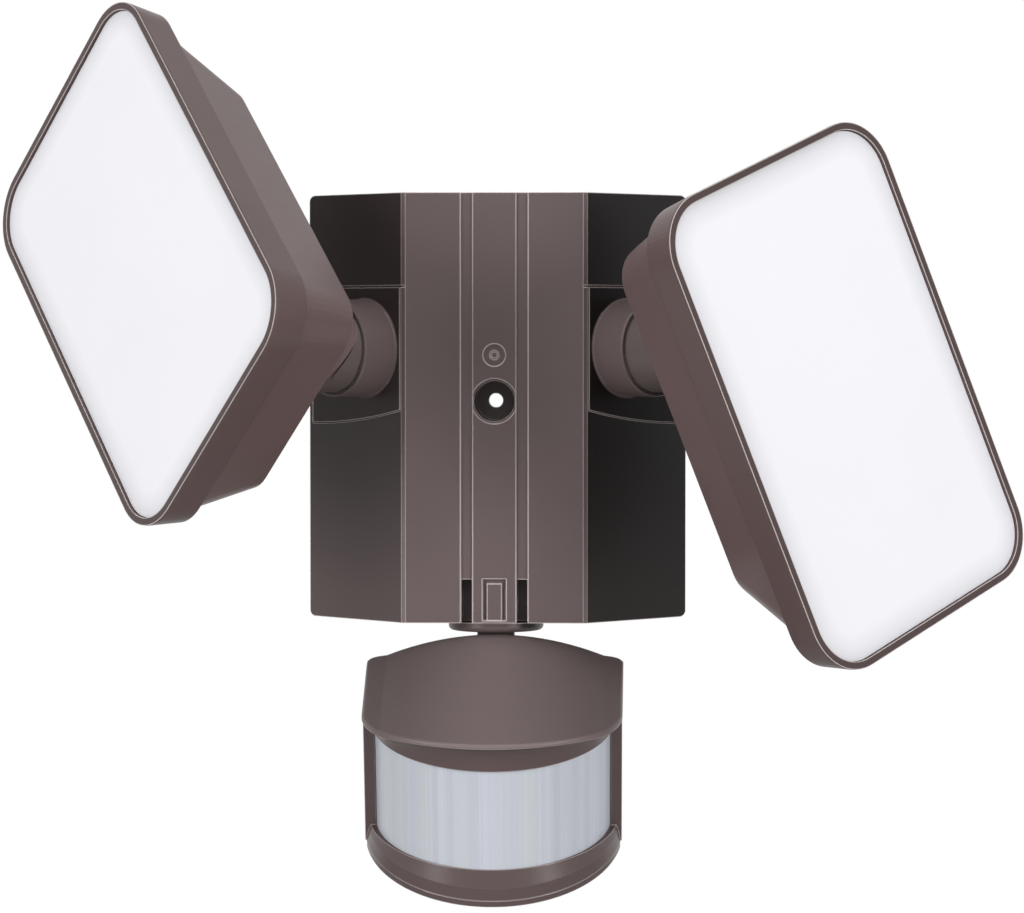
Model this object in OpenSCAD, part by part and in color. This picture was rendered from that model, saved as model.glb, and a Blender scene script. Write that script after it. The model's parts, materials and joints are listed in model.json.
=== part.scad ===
// Wall-mounted security light: a faceted canopy, two rolling and tilting LED lamps
// and a motion sensor that pans and tilts below.
// Frame: X to the right, +Z up, -Y out of the wall. The wall is the plane y = 0, and the
// origin is where the axis of the mounting bolt meets the wall.

/* [Canopy] */
// Distance from the wall to the front face
canopy_depth = 60; // [52:1:75]
// Width across the two side walls
canopy_width = 123.4; // [120:0.2:136]
// Width of the flat front face
front_width = 58.6; // [54:0.2:62]
// Height of the top edge above the mounting bolt
canopy_top = 66.8; // [64:0.2:80]
// Depth of the bottom edge below the mounting bolt
canopy_bottom = 71.2; // [68:0.2:85]
// Wall thickness of the canopy
canopy_wall = 2.5; // [2:0.1:3]
// Radius of the canopy's four outer corners
canopy_corner = 2; // [1:0.5:5]
// Width of the bevel between the front and a slanted face
edge_bevel = 1.6; // [0.6:0.2:2.4]
// Depth of the wiring space behind the back plate
wiring_depth = 14; // [12:1:16]
// Thickness of the back plate
plate_t = 2; // [1.5:0.5:3]
// Thickness of the foam wall gasket
gasket_t = 3; // [2:0.5:4]
// Width of the foam wall gasket
gasket_w = 9; // [6:1:12]

/* [Mounting bolt] */
// Radius of the bolt's clearance hole
bolt_hole_r = 2.3; // [2:0.1:2.8]
// Radius of the counterbore for the bolt's head
bolt_head_r = 6.5; // [6:0.1:7]
// Depth of the counterbore
bolt_head_depth = 17; // [6:1:20]
// Thickness of the web that the bolt's head presses on
bolt_web = 4; // [3:0.5:6]
// Radius of the bore behind the web, for the nipple of the wall box's strap
nipple_r = 6.5; // [5.5:0.1:7]
// Outer radius of the tube round the bolt
bolt_tube_r = 9; // [8.5:0.5:11]

/* [Front details] */
// Distance from the centre line to each shallow channel
channel_x = 8.9; // [8:0.1:10]
// Width of a shallow channel
channel_w = 3.9; // [3:0.1:4.5]
// Depth of a shallow channel
channel_d = 0.8; // [0.4:0.1:1.2]
// Height of the slots and the recess at the foot of the front
slot_h = 14; // [10:0.5:16]
// Depth of the two dark slots
slot_d = 11; // [6:0.5:12]
// Width of the two dark slots
slot_w = 3.4; // [2:0.1:3.8]
// Width of the recess between the slots
recess_w = 7.7; // [6:0.1:9]
// Height of the small round dimple above the bolt
dimple_z = 14.8; // [13:0.2:20]
// Radius of the small round dimple
dimple_r = 3.65; // [3:0.05:4]
// Radius of the ring groove inside the dimple
dimple_ring_r = 1.5; // [1:0.1:2]

/* [Arm panels] */
// Height of the panel's upper seam
panel_top = 36.5; // [35:0.5:42]
// Height of the panel's lower seam at its outer end
panel_low = -7.4; // [-12:0.2:-5]
// Radius of the curve along the panel's lower seam
seam_curve = 200; // [150:10:300]
// Width of the open seam round a panel
seam_gap = 0.3; // [0.2:0.1:0.8]
// Width of the groove above a panel
groove_w = 0.6; // [0.3:0.1:1]
// Height of the collar's axis above the bolt
collar_z = 17; // [14:0.5:20]
// Distance from the front edge to the collar's axis, sideways
collar_in = 13.3; // [12.8:0.1:16]
// Outer radius of the collar
collar_r = 15.7; // [15.4:0.1:16.5]
// Length of the collar
collar_len = 13.3; // [10:0.1:16]
// Rounding of the collar's rim
collar_round = 0.6; // [0.3:0.1:1]

/* [Lamp arms] */
// Radius of the arm's shaft
shaft_r = 11; // [9:0.5:11.5]
// Radius of the bore for the lamp's wires
wire_r = 5; // [3:0.5:6]
// Radius of the arm's hub and of the knuckle
knuckle_r = 14.2; // [13:0.1:14.4]
// Distance from the slanted face to the tilt screw
knuckle_reach = 28.8; // [28:0.2:34]
// Radius of the tilt screw
tilt_screw_r = 3; // [2.5:0.1:4]
// Turn of the right lamp about its arm in the photo
right_roll = 20.3; // [0:0.1:60]
// Tilt of the right lamp on its knuckle in the photo
right_tilt = -9.4; // [-20:0.1:20]
// Turn of the left lamp about its arm in the photo
left_roll = 133.2; // [60:0.1:165]
// Tilt of the left lamp on its knuckle in the photo
left_tilt = 8.9; // [-20:0.1:20]

/* [Lamp heads] */
// Width of the lamp's face
face_w = 102.6; // [98:0.2:110]
// Length of the lamp's face
face_l = 154.9; // [150:0.1:165]
// Corner radius of the lamp's face
face_r = 18; // [16:0.2:22]
// Width of the bezel's rim round the diffuser
rim_w = 2.4; // [2:0.1:3]
// Height of the rim above the diffuser
rim_h = 1.2; // [0.6:0.1:2]
// Depth of the bezel from front to back
bezel_depth = 12.5; // [10:0.5:15]
// Taper of the bezel's sides towards its back
bezel_taper = 1.9; // [0:0.1:2.2]
// Thickness of the bezel's side wall
bezel_wall = 1.5; // [1.2:0.1:1.8]
// Distance from the tilt screw to the diffuser
lamp_reach = 53.3; // [52:0.1:58]
// Offset of the lamp's centre from the arm along its length
lamp_drop = 26; // [20:0.5:30]
// Offset of the lamp's centre from the arm across its width
lamp_side = 6.1; // [0:0.1:8]
// Depth of the whole head from the rim to the back
head_depth = 38.3; // [36:0.1:39]
// Width of the head's flat back
back_w = 77.6; // [70:0.2:84]
// Distance from the centre to the back's edge at the arm's end
back_near = 65; // [60:0.5:68]
// Distance from the centre to the back's edge at the free end
back_far = 51.5; // [46:0.5:56]
// Corner radius of the head's back
back_r = 11; // [9:0.5:16]
// Step from the bezel in to the body along the sides
side_step = 4.9; // [4:0.1:7]
// Step from the bezel in to the body at the free end
far_step = 7.6; // [5:0.1:9]
// Wall thickness of the rear housing
head_wall = 2.2; // [1.8:0.1:2.6]
// Thickness of the diffuser
diffuser_t = 3; // [2:0.1:4]
// Width of the LED board
board_w = 74; // [60:1:75]
// Length of the LED board
board_l = 108; // [90:1:110]
// Columns of LEDs
led_cols = 4; // [2:1:5]
// Rows of LEDs
led_rows = 6; // [3:1:8]

/* [Sensor swivel] */
// Distance from the front face back to the pan axis
pan_back = 18; // [16:0.5:20]
// Pan of the sensor head, as in the photo
sensor_pan = 0.6; // [-5:0.1:5]
// Radius of the swivel disc
disc_r = 15.4; // [13:0.1:16]
// Thickness of the swivel disc
disc_t = 3; // [2:0.5:4]
// Radius of the swivel's shaft
pan_shaft_r = 8; // [6:0.5:9]
// Drop from the canopy's foot to the tilt pin
pin_drop = 14.8; // [14.6:0.1:18]
// Radius of the tilt pin
pin_r = 2.5; // [2:0.1:3]
// Radius of the sensor's knuckle
sensor_knuckle_r = 7.5; // [6:0.5:8]
// Width of the knuckle's tongue
tongue_w = 12; // [8:0.5:14]
// Nose-down tilt of the sensor in the photo
sensor_tilt = 19; // [16:0.5:30]

/* [Sensor head] */
// Width across the sensor's drum
drum_w = 81.2; // [78:0.2:84]
// Radius of the drum's round front
drum_arc = 41.3; // [40.8:0.1:50]
// Distance from the tilt pin forward to the drum's front
drum_front = 85.2; // [84:0.1:86]
// How far the housing's side strips stand forward beside the lens
strip_fwd = 6; // [3:0.5:10]
// Distance from the tilt pin forward to the drum's axis
drum_fwd = 45; // [44:0.5:50]
// Distance from the tilt pin forward to the drum's flat back
drum_back = 8.2; // [8:0.1:9]
// Height of the drum's upper rim above the tilt pin
drum_top = 4.5; // [4:0.1:5.5]
// Reach of the hood in front of the tilt pin
hood_front = 87; // [86:0.5:92]
// Radius of the hood's front edge
hood_r = 50; // [45:1:80]
// Radius of the hood's front corners
hood_corner = 26; // [10:1:30]
// Height of the hood's crown at its front
crown_front = 11.4; // [11:0.1:13]
// Height of the hood's crown at its back
crown_back = 14.6; // [14:0.1:14.7]
// Radius of the hood's crown
crown_r = 110; // [90:5:200]
// Width of the flat cheek along each side of the hood
cheek_w = 5.6; // [3:0.1:8]
// Wall thickness of the hood
hood_wall = 2.2; // [1.8:0.1:2.6]
// Radius of the hood's back corners
hood_back_r = 3; // [1:0.5:5]
// Radius of the lens
lens_r = 37.3; // [35:0.1:37.6]
// Height of the lens above the tilt pin
lens_top = 0.7; // [0:0.1:2]
// Depth of the lens below the tilt pin
lens_low = -32.8; // [-34:0.1:-30]
// Thickness of the lens
lens_t = 1.2; // [0.8:0.1:1.6]
// Height of the low wall between the foot and the flared band
low_wall_h = 6; // [4:0.1:7]
// Radius of the low wall at its upper edge
low_wall_r = 39.9; // [38.5:0.1:40.5]
// Depth of the drum below the tilt pin, at its axis
drum_low = -39.4; // [-42:0.2:-38.8]
// Slope of the drum's foot, lower at the front
foot_slope = 7.4; // [0:0.1:10]
// Wall thickness of the drum
drum_wall = 2.4; // [2.2:0.1:2.6]
// Thickness of the bottom cover
base_t = 2; // [1.5:0.1:2.5]
// Radius of a setting dial
dial_r = 6; // [4:0.1:7]
// Distance from the centre line to each dial
dial_x = 15; // [12:0.5:20]
// Travel of the mode switch each way
switch_travel = 3; // [2:0.5:4]

/* [Clearances] */
// Running clearance of a shaft in its bore, on the radius
run_gap = 0.05; // [0.02:0.01:0.1]
// Gap between faces that slide past each other
slide_gap = 0.3; // [0.2:0.05:0.5]
// Clearance round a piece that is seated in another
seat_gap = 0.2; // [0.1:0.05:0.3]

/* [Hidden] */
$fn = 64;
far = 400;
half_w = canopy_width / 2;
half_front = front_width / 2;
slant = half_w - half_front;
collar_x = half_front + collar_in;
collar_y = -canopy_depth + collar_in;
slant_len = slant * sqrt(2);
panel_mid = (half_front + half_w) / 2;
hub_r = knuckle_r + 0.2;
hub_seat = collar_len - 3;
hub_top = collar_len;
lug_r = knuckle_reach - hub_top - slide_gap;
nut_r = shaft_r + 4;
nut_t = 5;
washer_t = 1.2;
nut_low = -canopy_wall - slide_gap - washer_t - nut_t;
bezel_back = rim_h - bezel_depth;
lip_z = -1;
flange_t = 2;
pocket_w = face_w - 2 * bezel_taper - 2 * bezel_wall;
pocket_l = face_l - 2 * bezel_taper - 2 * bezel_wall;
pocket_r = face_r - bezel_taper - bezel_wall;
seal_t = 1.2;
seal_w = 3.5;
seal_top = lip_z - flange_t;
housing_top = seal_top - seal_t;
head_back = rim_h - head_depth;
body_w = face_w - 2 * side_step;
body_near = face_l / 2 - side_step;
body_far = face_l / 2 - far_step;
post_h = 6;
board_t = 1.6;
board_y = (back_near - back_far) / 2;
led_size = 3;
led_h = 0.8;
pan_y = -canopy_depth + pan_back;
boss_r = pan_shaft_r + 6;
boss_h = slot_h + 3;
drum_r = drum_w / 2;
plate_y = -wiring_depth;
plate_in = plate_y - plate_t;
driver_gap = 6;
driver_t = 1.6;
driver_z = 49;
driver_w = 84;
driver_h = 24;

bronze = [0.33, 0.27, 0.26];
dark = [0.1, 0.09, 0.09];
steel = [0.7, 0.7, 0.72];
board_green = [0.12, 0.35, 0.2];
board_white = [0.92, 0.92, 0.9];
milky = [0.95, 0.95, 0.97];

// Outline of the canopy seen from above, moved inwards by t
function canopy_points(t, back) = let (
    b = edge_bevel / 2,
    w = half_w - t,
    y1 = -canopy_depth + slant + t * tan(22.5),
    y0 = -canopy_depth + t,
    x0 = half_front - t * tan(22.5),
    c = b * cos(45)
) [
    [-w, back], [-w, y1], [-x0 - c, y0 + c], [-x0 + b, y0],
    [x0 - b, y0], [x0 + c, y0 + c], [w, y1], [w, back]
];

// Flat plate with exact round corners, its centre at the origin
module round_plate(w, l, r, t) {
    linear_extrude(t) {
        square([w - 2 * r, l], center = true);
        square([w, l - 2 * r], center = true);
        for (sx = [-1, 1], sy = [-1, 1])
            translate([sx * (w / 2 - r), sy * (l / 2 - r)])
                circle(r);
    }
}

module ring(r1, r0, t) {
    difference() {
        cylinder(r = r1, h = t);
        translate([0, 0, -1])
            cylinder(r = r0, h = t + 2);
    }
}

// A cylinder along X, its middle at the origin
module x_cylinder(r, w) {
    rotate([0, 90, 0])
        cylinder(r = r, h = w, center = true);
}

// Points along Y from y0 towards the wall
module y_cylinder(r, y0, len) {
    translate([0, y0, 0])
        rotate([-90, 0, 0])
            cylinder(r = r, h = len);
}

module canopy_block(t, back, top, bottom) {
    translate([0, 0, -bottom])
        linear_extrude(bottom + top)
            polygon(canopy_points(t, back));
}

// Frame of an arm: z out of the slanted face along the collar, y up
module arm_frame(side) {
    if (side > 0)
        right_arm_frame() children();
    else
        mirror([1, 0, 0]) right_arm_frame() children();
}

module right_arm_frame() {
    translate([collar_x, collar_y, collar_z])
        rotate([0, 0, 45])
            rotate([90, 0, 0])
                children();
}

// Frame of a rolled arm
module roll_frame(side) {
    arm_frame(side)
        rotate([0, 0, side > 0 ? right_roll : left_roll])
            children();
}

// Frame of a lamp at its tilt screw: x along the screw, z the way the lamp shines
module tilt_frame(side) {
    roll_frame(side)
        translate([0, 0, knuckle_reach])
            rotate([side > 0 ? right_tilt : left_tilt, 0, 0])
                children();
}

// Frame of a lamp's face: the diffuser lies at z = 0, and +y points to the arm's end
module face_frame(side) {
    tilt_frame(side)
        translate([lamp_side, -lamp_drop, lamp_reach])
            children();
}

// Frame of the sensor's swivel, panned as in the photo
module swivel_frame() {
    translate([0, pan_y, -canopy_bottom])
        rotate([0, 0, sensor_pan])
            children();
}

// Frame of the sensor head at its tilt pin
module sensor_frame() {
    swivel_frame()
        translate([0, 0, -pin_drop])
            rotate([sensor_tilt, 0, 0])
                children();
}

// Frame of the sensor's sloping foot
module foot_frame() {
    translate([0, -drum_fwd, drum_low])
        rotate([foot_slope, 0, 0])
            children();
}

screw_spots = [for (sx = [-1, 1], z = [-canopy_bottom + 11, canopy_top - 11]) [sx * (half_w - 11), z]];

module canopy_housing() {
    color(bronze)
    difference() {
        union() {
            intersection() {
                canopy_block(0, -gasket_t, canopy_top, canopy_bottom);
                rotate([90, 0, 0])
                    translate([0, (canopy_top - canopy_bottom) / 2, 0])
                        round_plate(canopy_width, canopy_top + canopy_bottom, canopy_corner, far);
            }
            y_cylinder(bolt_tube_r, -gasket_t - 1, gasket_t + 1);
        }
        difference() {
            canopy_block(canopy_wall, 1, canopy_top - canopy_wall, canopy_bottom - canopy_wall);
            y_cylinder(bolt_tube_r, -canopy_depth, canopy_depth);
            slot_block();
            pan_boss();
            for (p = screw_spots)
                translate([p[0], 0, p[1]])
                    y_cylinder(4.5, -canopy_depth, canopy_depth + plate_in);
            for (x = [-half_front + 6, half_front - 6])
                translate([x - 0.8, -canopy_depth, panel_top])
                    cube([1.6, canopy_wall + 6, canopy_top - panel_top]);
            plate_ledge();
        }
        translate([0, -1, 0])
            y_cylinder(bolt_hole_r, -canopy_depth, canopy_depth + 2);
        y_cylinder(bolt_head_r, -canopy_depth - 1, bolt_head_depth + 1);
        y_cylinder(nipple_r, -canopy_depth + bolt_head_depth + bolt_web, canopy_depth);
        translate([0, -canopy_depth - 0.01, 0])
            rotate([-90, 0, 0])
                cylinder(r1 = bolt_head_r + 0.8, r2 = bolt_head_r, h = 0.8);
        front_channels();
        foot_slots();
        translate([0, 0, dimple_z])
            y_cylinder(dimple_r, -canopy_depth - 1, 1.5);
        translate([0, -canopy_depth, dimple_z])
            rotate([-90, 0, 0])
                ring(dimple_ring_r, dimple_ring_r - 0.5, 1);
        for (side = [-1, 1])
            arm_frame(side)
                panel_cut(seam_gap);
        for (side = [-1, 1])
            arm_frame(side)
                panel_groove();
        for (p = screw_spots)
            translate([p[0], 0, p[1]])
                y_cylinder(1.25, plate_in - 12, far);
        translate([0, pan_y, -canopy_bottom - 1])
            cylinder(r = pan_shaft_r + run_gap, h = boss_h + 2);
    }
}

// Ledge inside the side walls that the back plate rests on
module plate_ledge() {
    translate([-half_w, plate_in - 3, -canopy_bottom])
        cube([canopy_wall + 2.5, 3, canopy_bottom + canopy_top]);
    translate([half_w - canopy_wall - 2.5, plate_in - 3, -canopy_bottom])
        cube([canopy_wall + 2.5, 3, canopy_bottom + canopy_top]);
}

module slot_block() {
    translate([-channel_x - 4, -canopy_depth, -canopy_bottom])
        cube([2 * channel_x + 8, slot_d + 2.5, slot_h + 3]);
}

module pan_boss() {
    translate([0, pan_y, -canopy_bottom])
        cylinder(r = boss_r, h = boss_h);
}

module front_channels() {
    for (sx = [-1, 1])
        translate([sx * channel_x - channel_w / 2, -canopy_depth - 1, -canopy_bottom - 1])
            cube([channel_w, 1 + channel_d, canopy_bottom + canopy_top + 2]);
}

module foot_slots() {
    for (sx = [-1, 1])
        translate([sx * channel_x - slot_w / 2, -canopy_depth - 1, -canopy_bottom - 1])
            cube([slot_w, slot_d + 1, slot_h + 1]);
    difference() {
        translate([-recess_w / 2, -canopy_depth - 1, -canopy_bottom + 0.8])
            cube([recess_w, 1 + 1.4, slot_h - 0.6]);
        translate([-recess_w / 2 + 1.5, -canopy_depth + 0.5, -canopy_bottom - 1])
            cube([recess_w - 3, 3, slot_h - 0.4]);
    }
}

// The hole in a slanted wall that its arm panel fills, grown by g
module panel_cut(g) {
    w = slant_len - 2 * edge_bevel;
    x0 = (panel_mid - collar_x) * sqrt(2) - w / 2;
    intersection() {
        translate([x0 - g, panel_low - collar_z - g, -canopy_wall - 2])
            cube([w + 2 * g, panel_top - panel_low + 2 * g, canopy_wall + 4]);
        translate([x0 + w, panel_low - collar_z + seam_curve, -canopy_wall - 3])
            cylinder(r = seam_curve + g, h = canopy_wall + 6, $fn = 256);
    }
}

// Seam line that runs on across the bevel at the panel's upper edge
module panel_groove() {
    translate([-slant_len, panel_top - collar_z, -0.6])
        cube([2 * slant_len, groove_w, 2]);
}

module arm_panel(side) {
    color(bronze)
    arm_frame(side)
        difference() {
            union() {
                intersection() {
                    panel_cut(0);
                    translate([-far / 2, -far / 2, -canopy_wall])
                        cube([far, far, canopy_wall]);
                }
                rotate_extrude()
                    collar_profile();
            }
            translate([0, 0, -canopy_wall - 1])
                cylinder(r = shaft_r + run_gap, h = collar_len + canopy_wall + 2);
            translate([0, 0, hub_seat])
                cylinder(r = hub_r + slide_gap, h = collar_len);
        }
}

// Half section of the collar with a round rim and a fillet at its foot
module collar_profile() {
    difference() {
        union() {
            translate([0, -canopy_wall])
                square([collar_r, canopy_wall + collar_len - collar_round]);
            translate([0, -canopy_wall])
                square([collar_r - collar_round, canopy_wall + collar_len]);
            translate([collar_r - collar_round, collar_len - collar_round])
                circle(collar_round);
            square([collar_r + collar_round, collar_round]);
        }
        translate([collar_r + collar_round, collar_round])
            circle(collar_round);
    }
}

module lamp_arm(side) {
    color(bronze)
    roll_frame(side)
        difference() {
            union() {
                translate([0, 0, nut_low - 2])
                    cylinder(r = shaft_r, h = hub_seat + slide_gap - nut_low + 2.5);
                translate([0, 0, hub_seat + slide_gap])
                    cylinder(r = hub_r, h = hub_top - hub_seat - slide_gap);
                intersection() {
                    translate([0, 0, hub_top - 1])
                        cylinder(r = knuckle_r, h = far);
                    translate([-slide_gap / 2 - knuckle_r, 0, 0])
                        union() {
                            translate([0, -knuckle_r, hub_top - 1])
                                cube([knuckle_r, 2 * knuckle_r, knuckle_reach - hub_top + 1]);
                            translate([knuckle_r / 2, 0, knuckle_reach])
                                x_cylinder(knuckle_r, knuckle_r);
                        }
                }
            }
            translate([0, 0, nut_low - 3])
                cylinder(r = wire_r, h = hub_seat - nut_low + 3);
            translate([0, 0, knuckle_reach])
                x_cylinder(tilt_screw_r + 0.02, 4 * knuckle_r);
        }
}

module arm_washer(side) {
    color(steel)
    roll_frame(side)
        translate([0, 0, -canopy_wall - slide_gap - washer_t])
            ring(nut_r - 0.5, shaft_r + 0.1, washer_t);
}

module arm_nut(side) {
    color(steel)
    roll_frame(side)
        translate([0, 0, nut_low])
            difference() {
                cylinder(r = nut_r, h = nut_t, $fn = 6);
                translate([0, 0, -1])
                    cylinder(r = shaft_r, h = nut_t + 2);
            }
}

module tilt_screw(side) {
    color(steel)
    roll_frame(side)
        translate([0, 0, knuckle_reach]) {
            translate([-knuckle_r + 1, 0, 0])
                rotate([0, 90, 0])
                    cylinder(r = tilt_screw_r, h = 2 * knuckle_r - 4);
            translate([knuckle_r - 3.2, 0, 0])
                rotate([0, 90, 0])
                    screw_head(tilt_screw_r + 2.2, 2.4);
        }
}

// Pan head with a cross recess, its underside at z = 0
module screw_head(r, h) {
    difference() {
        union() {
            cylinder(r = r, h = h * 0.6);
            translate([0, 0, h * 0.6])
                cylinder(r1 = r, r2 = r * 0.75, h = h * 0.4);
        }
        for (a = [0, 90])
            rotate([0, 0, a])
                translate([-r * 0.55, -r * 0.11, h * 0.5])
                    cube([r * 1.1, r * 0.22, h]);
    }
}

// Solid of a lamp's body, all its walls moved inwards by t
module body_block(t, top) {
    hull() {
        translate([0, (body_near - body_far) / 2, bezel_back - 0.5])
            round_plate(body_w - 2 * t, body_near + body_far - 2 * t, face_r - 4, 0.5, $fn = 40);
        translate([0, board_y, head_back + t])
            round_plate(back_w - 2 * t, back_near + back_far - 2 * t, back_r - t / 2, 0.5, $fn = 40);
    }
    translate([0, (body_near - body_far) / 2, bezel_back - 0.5])
        round_plate(body_w - 2 * t, body_near + body_far - 2 * t, face_r - 4, top - bezel_back + 0.5);
}

module rear_housing(side) {
    color(bronze)
    difference() {
        union() {
            face_frame(side)
                difference() {
                    union() {
                        body_block(0, bezel_back);
                        translate([0, 0, bezel_back])
                            round_plate(pocket_w - 2 * seat_gap, pocket_l - 2 * seat_gap,
                                pocket_r - seat_gap, housing_top - bezel_back);
                    }
                    body_block(head_wall, 0);
                }
            lamp_lug(side);
            face_frame(side)
                board_posts();
        }
        tilt_frame(side) {
            x_cylinder(tilt_screw_r + run_gap, 2 * knuckle_r);
            translate([knuckle_r - 3.2 - slide_gap + 5, 0, 0])
                x_cylinder(tilt_screw_r + 2.2 + slide_gap, 10);
        }
    }
}

// Lug of the lamp's housing, which laps the arm's tongue at the tilt screw
module lamp_lug(side) {
    tilt_frame(side)
        intersection() {
            translate([0, 0, -lug_r])
                cylinder(r = knuckle_r, h = lug_r + lamp_reach + head_back + 0.5);
            translate([slide_gap / 2, 0, 0])
                union() {
                    translate([0, -knuckle_r, 0])
                        cube([knuckle_r, 2 * knuckle_r, far]);
                    translate([knuckle_r / 2, 0, 0])
                        x_cylinder(lug_r, knuckle_r);
                }
        }
}

post_spots = [for (sx = [-1, 1], sy = [-1, 1]) [sx * (board_w / 2 - 5), board_y + sy * (board_l / 2 - 5)]];

module board_posts() {
    for (p = post_spots)
        translate([p[0], p[1], head_back + head_wall - 0.5])
            ring(3, 1, post_h + 0.5);
}

module bezel(side) {
    color(bronze)
    face_frame(side)
        difference() {
            hull() {
                translate([0, 0, rim_h - 1])
                    round_plate(face_w, face_l, face_r, 1, $fn = 64);
                translate([0, 0, bezel_back])
                    round_plate(face_w - 2 * bezel_taper, face_l - 2 * bezel_taper,
                        face_r - bezel_taper, 0.5, $fn = 64);
            }
            translate([0, 0, bezel_back - 1])
                round_plate(face_w - 2 * rim_w, face_l - 2 * rim_w, face_r - rim_w, bezel_depth + 2);
            translate([0, 0, bezel_back - 1])
                round_plate(pocket_w, pocket_l, pocket_r, lip_z - bezel_back + 1);
        }
}

module diffuser(side) {
    color(milky)
    face_frame(side) {
        translate([0, 0, seal_top])
            round_plate(pocket_w - 2 * seat_gap, pocket_l - 2 * seat_gap, pocket_r - seat_gap, flange_t);
        translate([0, 0, -diffuser_t])
            round_plate(face_w - 2 * rim_w - 2 * seat_gap, face_l - 2 * rim_w - 2 * seat_gap,
                face_r - rim_w - seat_gap, diffuser_t);
    }
}

module seal(side) {
    w = pocket_w - 2 * seat_gap;
    l = pocket_l - 2 * seat_gap;
    color(dark)
    face_frame(side)
        translate([0, 0, housing_top])
            difference() {
                round_plate(w, l, pocket_r - seat_gap, seal_t);
                translate([0, 0, -1])
                    round_plate(w - 2 * seal_w, l - 2 * seal_w, pocket_r - seal_w, seal_t + 2);
            }
}

module led_board(side) {
    color(board_white)
    face_frame(side)
        difference() {
            translate([0, board_y, head_back + head_wall + post_h])
                round_plate(board_w, board_l, 3, board_t);
            for (p = post_spots)
                translate([p[0], p[1], head_back])
                    cylinder(r = 1.4, h = head_depth);
        }
}

module leds(side) {
    color("gold")
    face_frame(side)
        translate([0, board_y, head_back + head_wall + post_h + board_t])
            for (i = [0 : led_cols - 1], j = [0 : led_rows - 1])
                translate([
                    (i - (led_cols - 1) / 2) * (board_w - 16) / led_cols,
                    (j - (led_rows - 1) / 2) * (board_l - 16) / led_rows,
                    led_h / 2
                ])
                    cube([led_size, led_size, led_h], center = true);
}

module board_screws(side) {
    color(steel)
    face_frame(side)
        for (p = post_spots)
            translate([p[0], p[1], head_back + head_wall + post_h + board_t]) {
                screw_head(2.4, 1.6);
                translate([0, 0, -6])
                    cylinder(r = 0.9, h = 6.2);
            }
}

module back_plate() {
    w = canopy_width - 2 * canopy_wall - 2 * seat_gap;
    h = canopy_top + canopy_bottom - 2 * canopy_wall - 2 * seat_gap;
    color(bronze)
    difference() {
        union() {
            translate([0, plate_y, (canopy_top - canopy_bottom) / 2])
                rotate([90, 0, 0])
                    round_plate(w, h, 1, plate_t);
            for (sx = [-1, 1], sz = [-1, 1])
                translate([sx * (driver_w / 2 - 4), 0, driver_z + sz * (driver_h / 2 - 4)])
                    y_cylinder(2.5, plate_in - driver_gap, driver_gap + 0.5);
        }
        y_cylinder(bolt_tube_r + seat_gap, -canopy_depth, canopy_depth);
        translate([0, 0, grommet_z])
            y_cylinder(grommet_r, -canopy_depth, canopy_depth);
        for (p = screw_spots)
            translate([p[0], 0, p[1]])
                y_cylinder(1.8, -canopy_depth, canopy_depth);
    }
}

grommet_z = -34;
grommet_r = 8;

module wire_grommet() {
    color(dark)
    translate([0, plate_in - 2, grommet_z])
        rotate([-90, 0, 0])
            rotate_extrude()
                difference() {
                    translate([4, 0])
                        square([6, plate_t + 4]);
                    translate([grommet_r, 2])
                        square([5, plate_t]);
                }
}

module back_plate_screws() {
    color(steel)
    for (p = screw_spots)
        translate([p[0], 0, p[1]]) {
            y_cylinder(1.25, plate_in - 8, 8 + plate_t + 0.1);
            translate([0, plate_y, 0])
                rotate([-90, 0, 0])
                    screw_head(3.2, 2.2);
        }
}

module wall_gasket() {
    h = canopy_top + canopy_bottom;
    color(dark)
    translate([0, 0, (canopy_top - canopy_bottom) / 2])
        rotate([90, 0, 0])
            difference() {
                round_plate(canopy_width, h, canopy_corner, gasket_t);
                translate([0, 0, -1])
                    round_plate(canopy_width - 2 * gasket_w, h - 2 * gasket_w, 2, gasket_t + 2);
            }
}

module driver_board() {
    color(board_green)
    translate([-driver_w / 2, plate_in - driver_gap - driver_t, driver_z - driver_h / 2])
        cube([driver_w, driver_t, driver_h]);
}

module driver_parts() {
    y0 = plate_in - driver_gap - driver_t;
    color(dark)
    translate([0, 0, driver_z]) {
        translate([-9, y0 - 16, -9])
            cube([18, 16, 18]);
        for (x = [-30, -19])
            translate([x, 0, 0])
                y_cylinder(4.5, y0 - 14, 14);
        translate([16, y0 - 12, -8])
            cube([10, 12, 14]);
        translate([30, y0 - 8, -9])
            cube([8, 8, 18]);
    }
}

module sensor_swivel() {
    color(bronze)
    swivel_frame()
        difference() {
            union() {
                translate([0, 0, -slide_gap])
                    mirror([0, 0, 1])
                        disc();
                translate([0, 0, -slide_gap - 1])
                    cylinder(r = pan_shaft_r, h = boss_h + slide_gap + 8);
                intersection() {
                    translate([-tongue_w / 2, -far / 2, -pin_drop - sensor_knuckle_r])
                        cube([tongue_w, far, pin_drop + sensor_knuckle_r - 1]);
                    union() {
                        translate([0, 0, -pin_drop])
                            x_cylinder(sensor_knuckle_r, tongue_w);
                        translate([-far / 2, -5, -pin_drop])
                            cube([far, 10, pin_drop - 1]);
                    }
                }
            }
            translate([0, 0, -4])
                cylinder(r = 3.5, h = boss_h + 20);
            translate([0, 0, -pin_drop])
                x_cylinder(pin_r + run_gap, far);
        }
}

// Swivel disc with a round lower edge
module disc() {
    r = disc_t * 0.5;
    rotate_extrude() {
        square([disc_r - r, disc_t]);
        square([disc_r, disc_t - r]);
        translate([disc_r - r, disc_t - r])
            circle(r);
    }
}

module swivel_nut() {
    color(steel)
    translate([0, pan_y, -canopy_bottom + boss_h + slide_gap])
        difference() {
            cylinder(r = pan_shaft_r + 4, h = 5, $fn = 6);
            translate([0, 0, -1])
                cylinder(r = pan_shaft_r, h = 7);
        }
}

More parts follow.
